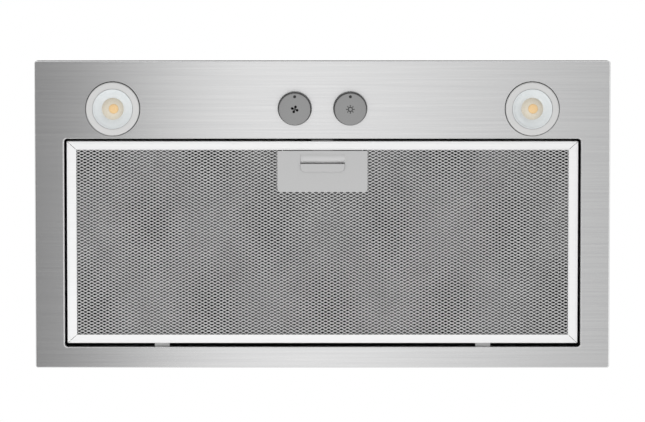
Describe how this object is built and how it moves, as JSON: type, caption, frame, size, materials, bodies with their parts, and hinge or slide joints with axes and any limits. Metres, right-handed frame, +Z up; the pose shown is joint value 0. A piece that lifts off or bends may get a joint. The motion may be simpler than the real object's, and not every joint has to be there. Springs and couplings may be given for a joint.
{
  "type": "range hood insert",
  "caption": "Built-in range hood insert: brushed steel face with hinged grease filter, lamps and knobs, over a housing with a twin-wheel blower, duct collar and back-draught flap",
  "frame": {"origin": "middle of the seating plane, the top of the faceplate's turned-in lip, which bears on the underside of the cabinet", "axes": "+Z up into the cabinet, -Y towards the cook (the side with the lamps and knobs), +X to the cook's right"},
  "size_m": [0.54, 0.289, 0.279],
  "materials": {
    "brushed_face": "stainless sheet, brushed along its length",
    "galvanized_sheet": "galvanized steel sheet with a faint spangle",
    "zinc_fastener": "zinc-plated steel",
    "damper_aluminium": "plain aluminium sheet",
    "blower_plastic": "black moulded plastic, satin",
    "wheel_plastic": "dark grey moulded plastic, satin",
    "bright_shaft": "ground steel",
    "motor_enamel": "black stoving enamel",
    "white_plastic": "off-white moulded plastic",
    "black_plastic": "black moulded plastic",
    "knob_grey": "grey satin lacquer with printed dot and pictogram",
    "filter_aluminium": "bright aluminium strip, lightly drawn",
    "filter_mesh": "expanded aluminium mesh, several layers",
    "spring_steel": "drawn spring wire",
    "latch_steel": "satin aluminium pressing",
    "lamp_shell_grey": "pale grey lamp housing, satin",
    "lamp_lens_clear": "clear moulded lens",
    "lamp_led": "yellow phosphor chip on a pale board"
  },
  "bodies": {
    "root": {"faceplate": "brushed_face", "housing_wrapper": "galvanized_sheet", "left_end_panel": "galvanized_sheet", "right_end_panel": "galvanized_sheet", "foot_studs_and_nuts": "zinc_fastener", "duct_collar": "galvanized_sheet", "collar_screws": "zinc_fastener", "left_volute": "blower_plastic", "right_volute": "blower_plastic", "left_inlet_ring": "blower_plastic", "right_inlet_ring": "blower_plastic", "motor_case": "motor_enamel", "left_motor_shield": "motor_enamel", "right_motor_shield": "motor_enamel", "motor_hanger": "galvanized_sheet", "motor_screws": "zinc_fastener", "run_capacitor": "white_plastic", "capacitor_clamp": "galvanized_sheet", "wiring_box": "galvanized_sheet", "wiring_box_cover": "galvanized_sheet", "terminal_block": "white_plastic", "switch_cover": "galvanized_sheet", "fan_switch": "black_plastic", "light_switch": "black_plastic", "switch_nuts": "zinc_fastener", "left_lamp_shell": "lamp_shell_grey", "left_lamp_lens": "lamp_lens_clear", "left_lamp_led": "lamp_led", "left_lamp_holder": "white_plastic", "left_lamp_bracket": "galvanized_sheet", "right_lamp_shell": "lamp_shell_grey", "right_lamp_lens": "lamp_lens_clear", "right_lamp_led": "lamp_led", "right_lamp_holder": "white_plastic", "right_lamp_bracket": "galvanized_sheet"},
    "blower": {"blower_shaft": "bright_shaft", "left_blower_wheel": "wheel_plastic", "right_blower_wheel": "wheel_plastic", "wheel_set_screws": "zinc_fastener"},
    "damper": {"damper_flap": "damper_aluminium", "damper_rod": "zinc_fastener"},
    "fan_dial": {"fan_knob": "knob_grey", "fan_spindle": "bright_shaft"},
    "light_dial": {"light_knob": "knob_grey", "light_spindle": "bright_shaft"},
    "filter": {"filter_frame": "filter_aluminium", "filter_rear_tabs": "filter_aluminium", "filter_mesh_front": "filter_mesh", "filter_mesh_pad": "filter_mesh", "filter_mesh_back": "filter_mesh", "latch_tray": "filter_aluminium", "latch_spring": "spring_steel"},
    "latch": {"latch_plate": "latch_steel"}
  },
  "joints": [
    {"name": "fan_knob_turn", "type": "hinge", "parent": "root", "child": "fan_dial", "pos_m": [-0.026, -0.1, -0.02], "axis": [0, 0, 1], "range_deg": [0, 120]},
    {"name": "light_knob_turn", "type": "hinge", "parent": "root", "child": "light_dial", "pos_m": [0.026, -0.1, -0.02], "axis": [0, 0, 1], "range_deg": [0, 90]},
    {"name": "filter_swing", "type": "hinge", "parent": "root", "child": "filter", "pos_m": [0, 0.1248, -0.0067], "axis": [1, 0, 0], "range_deg": [0, 60]},
    {"name": "latch_slide", "type": "slide", "parent": "filter", "child": "latch", "axis": [0, 1, 0], "range_m": [0, 0.006], "stiffness_N_per_m": 300, "springref_m": -0.004, "deforming": ["latch_spring"]},
    {"name": "damper_swing", "type": "hinge", "parent": "root", "child": "damper", "pos_m": [0, 0.0647, 0.233], "axis": [-1, 0, 0], "range_deg": [0, 75]},
    {"name": "blower_spin", "type": "hinge", "parent": "root", "child": "blower", "pos_m": [0, 0, 0.105], "axis": [1, 0, 0], "continuous": true}
  ]
}
